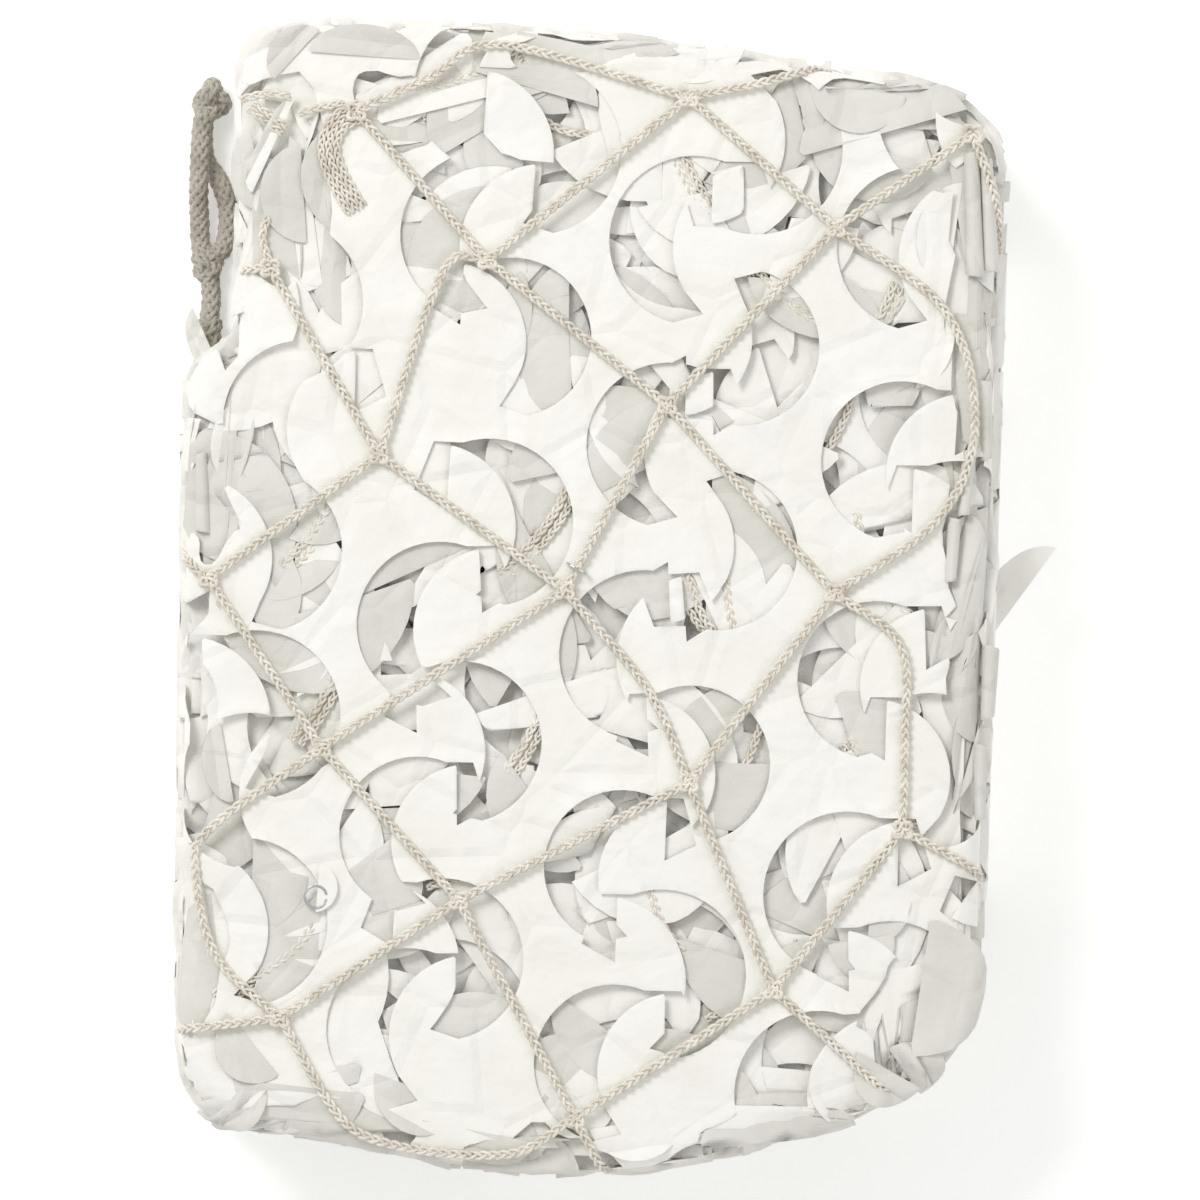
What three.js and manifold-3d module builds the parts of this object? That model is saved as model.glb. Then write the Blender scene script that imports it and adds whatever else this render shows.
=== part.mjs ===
// A folded bundle of white camouflage netting, lying flat. A leaf-cut fabric sheet is clipped to a
// knitted diamond mesh, edged with a braided rope, and folded to and fro into a flat bundle.
// The bundle opens like a book along its right-hand long edge, where the last fold turns.
// Millimetres, +Z up, +Y along the bundle, origin at the middle of the face it rests on.

import * as THREE from "three";
import { mergeVertices } from "three/addons/utils/BufferGeometryUtils.js";
import Module from "manifold-3d";

const wasm = await Module();
wasm.setup();

// Driving dimensions: the bundle
const bundleWidth = 300; // across the folded panels, without the turns at their edges
const bundleLength = 416; // along the folded panels
const passThickness = 7.9; // one pass of the folded strip, ten layers pressed together
const lowerPasses = 5;
const upperPasses = 4;
const topSheetThickness = 4; // the loose outermost layer with its lifted leaves
const topSheetInset = 8; // how far the outermost layer stops short of the bundle's sides
const turnDepth = 4; // how far a fold turn bulges past the edges that it joins
const edgeRound = 2.2; // soft edge of a pass
const clearance = 0.3; // between pieces that lie against each other

// Driving dimensions: the mesh, its clips and the rope
const netCord = 3.6; // knitted cord, pressed a little flat
const meshSide = 85; // knot to knot
const meshLean = 40; // degrees from X to each run of the mesh
const knotSize = 6; // a crossing of the mesh
const tuckDepth = 3.5; // how far a cord that leaves the top runs down the side
const ropeDiameter = 7.8;
const ropeSideEnd = -60; // where the rope goes in under the bundle, along Y
const ringRadius = 4; // to the middle of the wire
const ringWire = 1.1;
const ringGapAngle = 24; // degrees left open where the wire's ends meet
const ringFromKnot = 9;

// Heights, worked out from the base up
const passPitch = passThickness + clearance;
const lowerTop = lowerPasses * passPitch - clearance;
const lowerNetZ = lowerTop + clearance + netCord / 2;
const foldZ = lowerNetZ + netCord / 2 + clearance / 2;
const upperNetZ = foldZ + clearance / 2 + netCord / 2;
const upperBase = upperNetZ + netCord / 2 + clearance;
const topSheetBase = upperBase + upperPasses * passPitch;
const topSheetTop = topSheetBase + topSheetThickness;
const topNetZ = topSheetTop + clearance + netCord / 2;

const up = new THREE.Vector3(0, 0, 1);
const bundle = new THREE.Group();
const lowerHalf = new THREE.Group();
const upperHalf = new THREE.Group();
bundle.add(lowerHalf, upperHalf);

function finish(color, roughness, metalness = 0) {
  return new THREE.MeshStandardMaterial({ color, roughness, metalness });
}

const coatedCloth = () => finish(0xf4f3ee, 0.75);
const knittedCord = () => finish(0xe1dacd, 0.9);
const braidedRope = () => finish(0xafa89e, 0.9);
const brightWire = () => finish(0xc9ccce, 0.3, 1);

function addPiece(parent, name, geometry, material) {
  const mesh = new THREE.Mesh(geometry, material);
  mesh.name = name;
  parent.add(mesh);
  return mesh;
}

// The bundle's plan. Each corner stands at its own distance from the bundle's sides, and cut is
// how far from the corner its rounding starts. The left side steps in to leave room for the rope.

function planCorners(inset) {
  const x = bundleWidth / 2 - inset;
  const y = bundleLength / 2 - inset;
  return [
    { x: -x, y: 24 - y, cut: 26 },
    { x: 8, y: -y - 6, cut: 60 },
    { x: x - 11, y: 38 - y, cut: 42 },
    { x, y: y - 27, cut: 34 },
    { x: -20, y, cut: 60 },
    { x: 22 - x, y, cut: 24 },
    { x: 22 - x, y: 97, cut: 7 },
    { x: 3 - x, y: 84, cut: 10 },
  ];
}

function towards(from, to, distance) {
  const step = new THREE.Vector2(to.x - from.x, to.y - from.y).setLength(distance);
  return step.add(new THREE.Vector2(from.x, from.y));
}

function planShape(inset) {
  const corners = planCorners(inset);
  const shape = new THREE.Shape();
  corners.forEach((corner, i) => {
    const before = corners[(i + corners.length - 1) % corners.length];
    const after = corners[(i + 1) % corners.length];
    const start = towards(corner, before, corner.cut);
    const end = towards(corner, after, corner.cut);
    if (i === 0) shape.moveTo(start.x, start.y);
    else shape.lineTo(start.x, start.y);
    shape.quadraticCurveTo(corner.x, corner.y, end.x, end.y);
  });
  shape.closePath();
  return shape;
}

function slab(shape, thickness, round) {
  const geometry = new THREE.ExtrudeGeometry(shape, {
    depth: thickness - 2 * round,
    bevelThickness: round,
    bevelSize: round,
    bevelOffset: -round,
    bevelSegments: 1,
    curveSegments: 4,
  });
  return geometry.translate(0, 0, round);
}

// The passes: the long folded strip lies to and fro, one pass on another. The passes next to the
// bundle's faces are drawn in, which rounds its edges.

const lowerInsets = [6, 2];
const topPassInset = 3;

function lowerInset(i) {
  return lowerInsets[i] ?? 0;
}

function upperInset(i) {
  return i === upperPasses - 1 ? topPassInset : 0;
}

function passGeometry(inset) {
  return slab(planShape(inset), passThickness, edgeRound);
}

for (let i = 0; i < lowerPasses; i += 1) {
  const pass = addPiece(lowerHalf, `lower_pass_${i + 1}`, passGeometry(lowerInset(i)), coatedCloth());
  pass.position.z = i * passPitch;
}

for (let i = 0; i < upperPasses; i += 1) {
  const pass = addPiece(upperHalf, `upper_pass_${i + 1}`, passGeometry(upperInset(i)), coatedCloth());
  pass.position.z = upperBase + i * passPitch;
}

// The turns: at alternate sides the cloth of one pass turns up into the next, in a soft half round
// that stands against both edges. The turn at the last fold joins the two halves and bends.

const sides = {
  left: { from: 7, to: 0, spare: 14 },
  right: { from: 2, to: 3, spare: 20 },
};

function sideLine(side, inset) {
  const corners = planCorners(inset);
  const { from, to, spare } = sides[side];
  const start = towards(corners[from], corners[to], corners[from].cut + spare);
  const end = towards(corners[to], corners[from], corners[to].cut + spare);
  const along = end.clone().sub(start).normalize();
  const outward = new THREE.Vector3(along.y, -along.x, 0);
  return { end: new THREE.Vector3(end.x, end.y, 0), length: end.distanceTo(start), outward };
}

function turnGeometry(side, inset, height) {
  const line = sideLine(side, inset);
  const section = new THREE.Shape();
  section.moveTo(0, 0);
  section.absellipse(0, height / 2, turnDepth, height / 2, -Math.PI / 2, Math.PI / 2, false, 0);
  section.closePath();
  const geometry = new THREE.ExtrudeGeometry(section, {
    depth: line.length,
    bevelEnabled: false,
    curveSegments: 5,
  });
  const back = line.outward.clone().cross(up);
  const foot = line.end.clone().addScaledVector(line.outward, clearance);
  return geometry.applyMatrix4(new THREE.Matrix4().makeBasis(line.outward, up, back).setPosition(foot));
}

function addTurn(parent, name, side, inset, low, high) {
  const turn = addPiece(parent, name, turnGeometry(side, inset, high - low), coatedCloth());
  turn.position.z = low;
}

for (let i = 0; i < lowerPasses - 1; i += 1) {
  const side = i % 2 === 0 ? "right" : "left";
  const inset = lowerInset(i + 1);
  const low = i * passPitch + (i === 0 ? 0 : clearance / 2);
  const high = (i + 2) * passPitch - clearance * 1.5;
  addTurn(lowerHalf, `lower_turn_${i + 1}_${side}`, side, inset, low, high);
}

// The drawn-in top pass has its turn inside the shoulder, where the mesh runs down over it.
for (let i = 0; i < upperPasses - 2; i += 1) {
  const side = i % 2 === 0 ? "left" : "right";
  const low = upperBase + i * passPitch + clearance / 2;
  const high = upperBase + (i + 2) * passPitch - clearance * 1.5;
  addTurn(upperHalf, `upper_turn_${i + 1}_${side}`, side, upperInset(i), low, high);
}

const lastTurnLow = (lowerPasses - 1) * passPitch + clearance / 2;
const lastTurnHigh = upperBase + passThickness - clearance / 2;
addTurn(lowerHalf, "last_fold_turn", "right", 0, lastTurnLow, lastTurnHigh);

// Solids for joining and cutting

function solidOf(geometry) {
  const loose = geometry.index ? geometry.toNonIndexed() : geometry;
  const bare = new THREE.BufferGeometry();
  bare.setAttribute("position", loose.getAttribute("position"));
  const merged = mergeVertices(bare, 1e-4);
  const vertProperties = merged.getAttribute("position").array;
  const triVerts = new Uint32Array(merged.index.array);
  return new wasm.Manifold(new wasm.Mesh({ numProp: 3, vertProperties, triVerts }));
}

function geometryOf(solid) {
  const mesh = solid.getMesh();
  const geometry = new THREE.BufferGeometry();
  geometry.setAttribute("position", new THREE.BufferAttribute(new Float32Array(mesh.vertProperties), 3));
  geometry.setIndex(new THREE.BufferAttribute(new Uint32Array(mesh.triVerts), 1));
  return geometry;
}

function joined(geometries) {
  const solids = geometries.map(solidOf);
  return geometryOf(solids.reduce((whole, next) => whole.add(next)));
}

// Cords: a tube of flat-sided section along a smooth curve through the given points

function ringPoints(radius, sideCount) {
  return Array.from({ length: sideCount }, (_, i) => {
    const angle = (2 * Math.PI * i) / sideCount;
    return new THREE.Vector2(radius * Math.cos(angle), radius * Math.sin(angle));
  });
}

function tube(points, radius, sideCount, stepLength) {
  const curve = new THREE.CatmullRomCurve3(points, false, "centripetal");
  return new THREE.ExtrudeGeometry(new THREE.Shape(ringPoints(radius, sideCount)), {
    steps: Math.max(2, Math.round(curve.getLength() / stepLength)),
    extrudePath: curve,
    bevelEnabled: false,
  });
}

// Where a cord lies: flat on the outermost layer, and bending down over the shoulder at its edge

const planOutline = planShape(0).getPoints(6);
const pastSheetEdge = 3.2; // a cord runs level this far past the outermost layer's edge
const sideSlack = 0.5; // a cord hangs this much further out than it must
const belowSheet = 2.6; // and reaches this far below the outermost layer's underside
const bendStart = topSheetInset - pastSheetEdge; // inward from the plan's outline
const overhang = netCord / 2 + clearance + sideSlack; // outward from it
const shoulderDrop = netCord / 2 + clearance + topSheetThickness + belowSheet;

function nearestOnPlan(point) {
  let best = { distance: Infinity };
  planOutline.forEach((a, i) => {
    const edge = planOutline[(i + 1) % planOutline.length].clone().sub(a);
    if (edge.lengthSq() === 0) return;
    const share = THREE.MathUtils.clamp(point.clone().sub(a).dot(edge) / edge.lengthSq(), 0, 1);
    const foot = a.clone().addScaledVector(edge, share);
    const distance = foot.distanceTo(point);
    if (distance < best.distance) {
      best = { foot, distance, outward: new THREE.Vector2(edge.y, -edge.x).normalize() };
    }
  });
  const outside = point.clone().sub(best.foot).dot(best.outward) > 0;
  return { foot: best.foot, outward: best.outward, inward: outside ? -best.distance : best.distance };
}

function onShoulder(point) {
  const { foot, outward, inward } = nearestOnPlan(point);
  const share = THREE.MathUtils.clamp((bendStart - inward) / (bendStart + overhang), 0, 1);
  const place = inward < -overhang ? foot.clone().addScaledVector(outward, overhang) : point;
  return new THREE.Vector3(place.x, place.y, topNetZ - share * shoulderDrop);
}

// The mesh over the top. A knot's place is a share of the bundle's half width and half length,
// because the mesh spreads with the bundle, and so is a point that a slack cord passes.

const knots = {
  topLeft: [-0.571, 0.849],
  upperLeft: [-0.253, 0.591],
  topMiddle: [0.236, 0.873],
  upperRight: [0.593, 0.647],
  topRight: [0.925, 0.81],
  leftUpper: [-0.78, 0.577],
  leftMiddle: [-0.516, 0.252],
  middleUpper: [0.183, 0.339],
  farLeft: [-0.93, 0.038],
  centre: [-0.065, 0.017],
  rightMiddle: [0.589, 0.012],
  leftLower: [-0.656, -0.257],
  middleLower: [0.236, -0.318],
  rightLower: [0.755, -0.4],
  lowerLeft: [-0.323, -0.522],
  farLowerLeft: [-0.757, -0.727],
  lowerRight: [0.441, -0.678],
  bottom: [-0.041, -0.9],
};

// Each run of cord goes from knot to knot, by way of the points between. One that ends in a point
// instead of a knot leaves the top there and runs down the side.
const runs = [
  ["topLeft", "upperLeft"],
  ["upperLeft", "middleUpper"],
  ["middleUpper", "rightMiddle"],
  ["topLeft", [-0.39, 0.91], [-0.22, 0.965], "topMiddle"],
  ["topMiddle", "upperRight"],
  ["upperRight", [0.86, 0.5], [0.93, 0.3], [0.84, 0.14], "rightMiddle"],
  ["topMiddle", "upperLeft"],
  ["upperLeft", [-0.36, 0.57], "leftMiddle"],
  ["leftMiddle", "farLeft"],
  ["topMiddle", [0.5, 0.92], [0.63, 1.02]],
  ["topRight", "upperRight"],
  ["upperRight", "middleUpper"],
  ["middleUpper", "centre"],
  ["centre", "leftLower"],
  ["leftLower", [-0.93, -0.4], [-0.96, -0.48], [-0.91, -0.62], "farLowerLeft"],
  ["leftUpper", "leftMiddle"],
  ["leftMiddle", "centre"],
  ["centre", [0.14, -0.16], "middleLower"],
  ["farLeft", "leftLower"],
  ["leftLower", "lowerLeft"],
  ["lowerLeft", "bottom"],
  ["bottom", [0.06, -1.04]],
  ["rightMiddle", "middleLower"],
  ["middleLower", "lowerLeft"],
  ["lowerLeft", "farLowerLeft"],
  ["farLowerLeft", [-1.04, -0.75]],
  ["rightMiddle", [0.75, -0.08], [0.76, -0.24], "rightLower"],
  ["rightLower", "lowerRight"],
  ["rightLower", [1.04, -0.51]],
  ["middleLower", "lowerRight"],
  ["lowerRight", [0.72, -0.86]],
  ["lowerRight", "bottom"],
  ["bottom", [-0.22, -0.965], [-0.56, -0.93], "farLowerLeft"],
  ["topRight", [1.04, 0.6]],
  ["leftUpper", [-0.98, 0.57]],
  ["farLeft", [-1.06, 0.1]],
];

const sampleStep = 4; // between the places where a run's height is worked out
const bendStep = 8; // between the rings of a tube that bends

function onPlan([x, y]) {
  return new THREE.Vector2((x * bundleWidth) / 2, (y * bundleLength) / 2);
}

function runTube(run) {
  const stops = run.map((stop) => onPlan(knots[stop] ?? stop));
  const flat = new THREE.SplineCurve(stops);
  const points = flat.getSpacedPoints(Math.round(flat.getLength() / sampleStep)).map(onShoulder);
  const bends = points.some((point) => point.z < topNetZ);
  if (typeof run.at(-1) !== "string") {
    const last = points.at(-1);
    points.push(last.clone().setZ(last.z - tuckDepth));
  }
  if (!bends && stops.length === 2) return tube([points[0], points.at(-1)], netCord / 2, 6, meshSide);
  return tube(points, netCord / 2, 6, bendStep);
}

function knotBall(knot) {
  const place = onShoulder(onPlan(knot));
  const ball = new THREE.SphereGeometry(knotSize / 2, 6, 4);
  return ball.scale(1, 1, netCord / knotSize).translate(place.x, place.y, place.z);
}

const topKnots = Object.values(knots).map(knotBall);
addPiece(upperHalf, "mesh_net_top", joined([...runs.map(runTube), ...topKnots]), knittedCord());

// The mesh on the two faces that meet when the bundle is closed: straight runs, in two directions

function acrossPlan(origin, along, margin) {
  const hits = [];
  const normal = new THREE.Vector2(-along.y, along.x);
  planOutline.forEach((a, i) => {
    const b = planOutline[(i + 1) % planOutline.length];
    const fromA = a.clone().sub(origin).dot(normal);
    const fromB = b.clone().sub(origin).dot(normal);
    if (fromA > 0 === fromB > 0) return;
    const hit = a.clone().lerp(b, fromA / (fromA - fromB));
    hits.push(hit.sub(origin).dot(along));
  });
  return hits.length ? [Math.min(...hits) + margin, Math.max(...hits) - margin] : [0, 0];
}

function insideMesh(z, shift) {
  const spacing = meshSide * Math.sin(THREE.MathUtils.degToRad(2 * meshLean));
  const reach = Math.ceil(bundleLength / spacing);
  const pieces = [];
  for (const lean of [meshLean, 180 - meshLean]) {
    const angle = THREE.MathUtils.degToRad(lean);
    const along = new THREE.Vector2(Math.cos(angle), Math.sin(angle));
    for (let i = -reach; i <= reach; i += 1) {
      const origin = new THREE.Vector2(-along.y, along.x).multiplyScalar((i + shift) * spacing);
      const [from, to] = acrossPlan(origin, along, netCord);
      if (to - from < 2 * meshSide) continue;
      const ends = [from, to].map((distance) => origin.clone().addScaledVector(along, distance));
      const line = new THREE.LineCurve3(...ends.map((end) => new THREE.Vector3(end.x, end.y, z)));
      const outline = new THREE.Shape(ringPoints(netCord / 2, 6));
      pieces.push(new THREE.ExtrudeGeometry(outline, { steps: 1, extrudePath: line, bevelEnabled: false }));
    }
  }
  return joined(pieces);
}

const lowerMeshShift = 0.5; // the two faces came from different places of the net, so their
const upperMeshShift = 0.1; // meshes don't line up: each is moved by its share of a mesh
addPiece(lowerHalf, "mesh_net_lower_inside", insideMesh(lowerNetZ, lowerMeshShift), knittedCord());
addPiece(upperHalf, "mesh_net_upper_inside", insideMesh(upperNetZ, upperMeshShift), knittedCord());

// The wire ring clips. One is closed round a run of the mesh beside the centre knot, and sits in
// the slit that it makes in the outermost layer. The other has slipped flat on to that layer.

function ringGeometry() {
  const gap = THREE.MathUtils.degToRad(ringGapAngle);
  const bends = 20;
  const points = Array.from({ length: bends + 1 }, (_, i) => {
    const angle = gap / 2 + ((2 * Math.PI - gap) * i) / bends;
    return new THREE.Vector3(ringRadius * Math.cos(angle), ringRadius * Math.sin(angle), 0);
  });
  return tube(points, ringWire / 2, 6, 1.5 * ringWire);
}

const centreKnot = onPlan(knots.centre);
const ringRun = onPlan(knots.middleUpper).sub(centreKnot).normalize();
const ringPlace = centreKnot.addScaledVector(ringRun, ringFromKnot);
const ringAxis = new THREE.Vector3(ringRun.x, ringRun.y, 0);
const ringTurn = new THREE.Matrix4().makeBasis(up, ringAxis.clone().cross(up), ringAxis);
ringTurn.setPosition(ringPlace.x, ringPlace.y, topNetZ);
addPiece(upperHalf, "ring_clip_knot", ringGeometry().applyMatrix4(ringTurn), brightWire());

const flatRing = addPiece(upperHalf, "ring_clip_leaf", ringGeometry(), brightWire());
const flatRingPlace = onPlan([-0.665, -0.516]);
flatRing.position.set(flatRingPlace.x, flatRingPlace.y, topSheetTop + clearance + ringWire / 2);

// The outermost layer, with a slit for the ring that goes through it

const slitRadius = ringRadius + ringWire / 2 + clearance;
const slit = new THREE.CylinderGeometry(slitRadius, slitRadius, ringWire + 2 * clearance, 16);
slit.rotateX(Math.PI / 2).applyMatrix4(ringTurn);
const topSheet = slab(planShape(topSheetInset), topSheetThickness, topSheetThickness / 3);
topSheet.translate(0, 0, topSheetBase);
const slitSheet = geometryOf(solidOf(topSheet).subtract(solidOf(slit)));
addPiece(upperHalf, "top_leaf_sheet", slitSheet, coatedCloth());

// The border rope lies beside the bundle's left side. Places across are from that side. A held
// stretch lies along the side under the overhanging turns, and goes into the folds at its far end.

const leftSide = -bundleWidth / 2;
const ropeRadius = ropeDiameter / 2;
const ropeLow = ropeRadius + 0.05;

function ropePoints(points) {
  return points.map(([across, along, height]) => new THREE.Vector3(leftSide + across, along, height));
}

function addRope(name, points) {
  addPiece(lowerHalf, name, tube(ropePoints(points), ropeRadius, 8, ropeDiameter), braidedRope());
}

function addKnot(name, [across, along, height], [x, y, z]) {
  const knot = addPiece(lowerHalf, name, new THREE.SphereGeometry(1, 12, 8).scale(x, y, z), braidedRope());
  knot.position.set(leftSide + across, along, height);
}

addKnot("rope_edge_knot", [8.6, 98, 6.3], [6.5, 7.5, 6.2]);
addKnot("rope_joining_knot", [8.2, 123.7, 6.2], [6.6, 7, 6.1]);
addKnot("rope_end_knot", [10, 184, 8.1], [7, 8.2, 8]);

addRope("border_rope_side", [
  [7.2, 90, ropeLow],
  [5, 78, ropeLow],
  [4.4, 40, ropeLow],
  [3.7, 0, ropeLow],
  [2.9, ropeSideEnd, ropeLow],
]);
addRope("border_rope_joint", [
  [8.8, 106, ropeLow + 1.5],
  [9.4, 111, ropeLow + 1],
  [9, 116.2, ropeLow + 1.5],
]);
addRope("border_rope_end", [
  [5.4, 131, ropeLow + 0.6],
  [5, 140, ropeLow + 1.6],
  [4.8, 147, ropeLow + 5],
  [5, 154, ropeLow + 8],
  [5.4, 163, ropeLow + 8.8],
  [6.2, 175.4, ropeLow + 8.4],
]);
addRope("border_rope_second_end", [
  [13.8, 130, ropeLow + 0.2],
  [15.4, 138, ropeLow],
  [15.2, 146, ropeLow],
  [12, 155, ropeLow],
  [7, 163, ropeLow],
  [6.4, 175.2, ropeLow],
]);

export default bundle;
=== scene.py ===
import math
import random

import bmesh
import bpy
import numpy as np
from mathutils import Matrix, Vector, geometry, noise


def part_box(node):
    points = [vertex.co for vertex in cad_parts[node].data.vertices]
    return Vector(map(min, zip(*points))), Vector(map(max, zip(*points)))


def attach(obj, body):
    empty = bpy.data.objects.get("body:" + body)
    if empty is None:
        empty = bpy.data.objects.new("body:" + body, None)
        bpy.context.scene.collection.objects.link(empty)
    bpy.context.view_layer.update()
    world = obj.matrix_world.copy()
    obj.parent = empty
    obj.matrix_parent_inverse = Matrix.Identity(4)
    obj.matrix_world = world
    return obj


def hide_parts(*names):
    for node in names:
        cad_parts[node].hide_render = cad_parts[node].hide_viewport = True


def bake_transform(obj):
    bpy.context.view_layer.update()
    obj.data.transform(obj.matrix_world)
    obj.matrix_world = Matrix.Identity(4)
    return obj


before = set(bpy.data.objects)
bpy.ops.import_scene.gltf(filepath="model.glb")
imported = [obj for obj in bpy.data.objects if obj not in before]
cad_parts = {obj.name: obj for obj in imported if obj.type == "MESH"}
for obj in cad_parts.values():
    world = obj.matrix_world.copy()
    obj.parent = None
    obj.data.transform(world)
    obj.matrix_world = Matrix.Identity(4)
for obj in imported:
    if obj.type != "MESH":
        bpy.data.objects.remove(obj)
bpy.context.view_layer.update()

mm = 0.001

# ---------------------------------------------------------------- camera
# Straight above the bundle through a long lens, so that the sides hardly show.

sheet_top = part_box("top_leaf_sheet")[1].z
camera_height = 4.0
view_side = 434 * mm  # how much of the level of the bundle's top is in view

camera_data = bpy.data.cameras.new("camera")
camera_data.lens = camera_data.sensor_width * camera_height / view_side
camera_data.clip_end = 20
camera = bpy.data.objects.new("camera", camera_data)
camera.location = (3 * mm, 0, sheet_top + camera_height)
bpy.context.scene.collection.objects.link(camera)
bpy.context.scene.camera = camera

# ---------------------------------------------------------------- border rope
# The braided rope that edges the net. Its end comes out beside the bundle, is knotted to the
# rope's other end, and closes in a stopper knot. Twelve polyester yarns are plaited round a core.

left_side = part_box("lower_pass_3")[0].x
rope_diameter = 7.8 * mm
rope_low = rope_diameter / 2 + 0.05 * mm  # the middle of a rope that lies on the floor


def linear(hex_colour):
    """An sRGB hex value as the linear colour that a shader takes."""
    parts = [int(hex_colour[i : i + 2], 16) / 255 for i in (0, 2, 4)]
    return [p / 12.92 if p <= 0.04045 else ((p + 0.055) / 1.055) ** 2.4 for p in parts] + [1]


def add_node(tree, kind, inputs, **settings):
    """A node with its settings and its inputs, each a value or another node's socket."""
    made = tree.nodes.new(kind)
    for name, value in settings.items():
        setattr(made, name, value)
    for name, value in inputs.items():
        if isinstance(value, bpy.types.NodeSocket):
            tree.links.new(value, made.inputs[name])
        else:
            made.inputs[name].default_value = value
    return made


def yarn_finish(name, light, dark, fibre, roughness):
    """Spun polyester: matt, a little fuzzy, darker where the fibres bunch."""
    material = bpy.data.materials.new(name)
    material.use_nodes = True
    tree = material.node_tree
    shader = tree.nodes["Principled BSDF"]
    place = add_node(tree, "ShaderNodeTexCoord", {}).outputs["Object"]
    tuft = add_node(tree, "ShaderNodeTexNoise", {"Vector": place, "Scale": 1 / fibre, "Detail": 3})
    stain = add_node(tree, "ShaderNodeTexNoise", {"Vector": place, "Scale": 1 / (9 * fibre), "Detail": 2})
    shares = {0: tuft.outputs["Fac"], 1: stain.outputs["Fac"]}
    mixed = add_node(tree, "ShaderNodeMath", shares, operation="MULTIPLY")
    ramp = add_node(tree, "ShaderNodeValToRGB", {"Fac": mixed.outputs["Value"]})
    ramp.color_ramp.elements[0].position = 0.12
    ramp.color_ramp.elements[0].color = linear(dark)
    ramp.color_ramp.elements[1].position = 0.34
    ramp.color_ramp.elements[1].color = linear(light)
    fuzz = {"Height": tuft.outputs["Fac"], "Strength": 0.5, "Distance": 0.3 * mm}
    bump = add_node(tree, "ShaderNodeBump", fuzz)
    tree.links.new(ramp.outputs["Color"], shader.inputs["Base Color"])
    tree.links.new(bump.outputs["Normal"], shader.inputs["Normal"])
    shader.inputs["Roughness"].default_value = roughness
    shader.inputs["Sheen Weight"].default_value = 0.15
    return material


rope_yarn = yarn_finish("braided_polyester_rope", "C6BFB4", "A59E93", 0.8 * mm, 0.9)


def smooth_path(points, step):
    """Places about a step apart on a smooth curve through the points."""
    points = np.array(points, float)
    padded = np.vstack([2 * points[0] - points[1], points, 2 * points[-1] - points[-2]])
    fine = []
    for a, b, c, d in zip(padded, padded[1:], padded[2:], padded[3:]):
        slope, bend, twist = c - a, 2 * a - 5 * b + 4 * c - d, 3 * b - a - 3 * c + d
        for t in np.linspace(0, 1, 24, endpoint=False):
            fine.append(0.5 * (2 * b + slope * t + bend * t**2 + twist * t**3))
    fine = np.array(fine + [points[-1]])
    return evenly(fine, step)


def evenly(path, step):
    """The same line with its places a step apart."""
    along = np.concatenate([[0], np.cumsum(np.linalg.norm(np.diff(path, axis=0), axis=1))])
    wanted = np.linspace(0, along[-1], max(2, round(along[-1] / step) + 1))
    return np.column_stack([np.interp(wanted, along, path[:, i]) for i in range(3)])


def cross_axes(path):
    """At each place on a line, two directions across it that don't twist along it."""
    tangent = np.gradient(path, axis=0)
    tangent /= np.linalg.norm(tangent, axis=1)[:, None]
    start = np.cross([0, 0, 1], tangent[0])
    if np.linalg.norm(start) < 0.1:
        start = np.cross([0, 1, 0], tangent[0])
    side = [start / np.linalg.norm(start)]
    for t in tangent[1:]:
        turned = side[-1] - (side[-1] @ t) * t
        side.append(turned / np.linalg.norm(turned))
    side = np.array(side)
    return side, np.cross(tangent, side)


def add_object(name, mesh, material):
    made = bpy.data.objects.new(name, mesh)
    mesh.name = name
    mesh.materials.clear()
    mesh.materials.append(material)
    mesh.polygons.foreach_set("use_smooth", [True] * len(mesh.polygons))
    bpy.context.scene.collection.objects.link(made)
    return made


def yarn_piece(name, strands, material, rounding=1):
    """One mesh of many yarns. A strand is a line of places and the yarn's radius."""
    curve = bpy.data.curves.new(name, "CURVE")
    curve.dimensions = "3D"
    curve.bevel_depth = 1
    curve.bevel_resolution = rounding
    curve.use_fill_caps = True
    for path, radius in strands:
        spline = curve.splines.new("POLY")
        spline.points.add(len(path) - 1)
        spline.points.foreach_set("co", np.column_stack([path, np.ones(len(path))]).ravel())
        spline.points.foreach_set("radius", np.full(len(path), radius))
    source = bpy.data.objects.new(name, curve)
    mesh = bpy.data.meshes.new_from_object(source)
    bpy.data.objects.remove(source)
    return add_object(name, mesh, material)


def braid(path, radius, yarns_each_way=6, lay=26 * mm):
    """Yarns that run round a core both ways, each over and under those that it meets."""
    side, rise = cross_axes(path)
    along = np.concatenate([[0], np.cumsum(np.linalg.norm(np.diff(path, axis=0), axis=1))])
    yarn = 0.27 * radius
    weave = 0.1 * radius * np.cos(2 * math.pi * yarns_each_way * along / lay)
    strands = [(path[::3] if len(path) > 12 else path, 0.68 * radius)]
    for way in (1, -1):
        reach = (radius - yarn - 0.1 * radius + way * weave)[:, None]
        for k in range(yarns_each_way):
            turn = (2 * math.pi * (k / yarns_each_way + way * along / lay))[:, None]
            strands.append((path + reach * (np.cos(turn) * side + np.sin(turn) * rise), yarn))
    return strands


def beside_bundle(points):
    """Places given as across from the bundle's left side, along it, and up, in millimetres."""
    return [(left_side + x * mm, y * mm, z) for x, y, z in points]


def rope_path(points):
    return smooth_path(beside_bundle([(x, y, rope_low + z * mm) for x, y, z in points]), 0.9 * mm)


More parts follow.
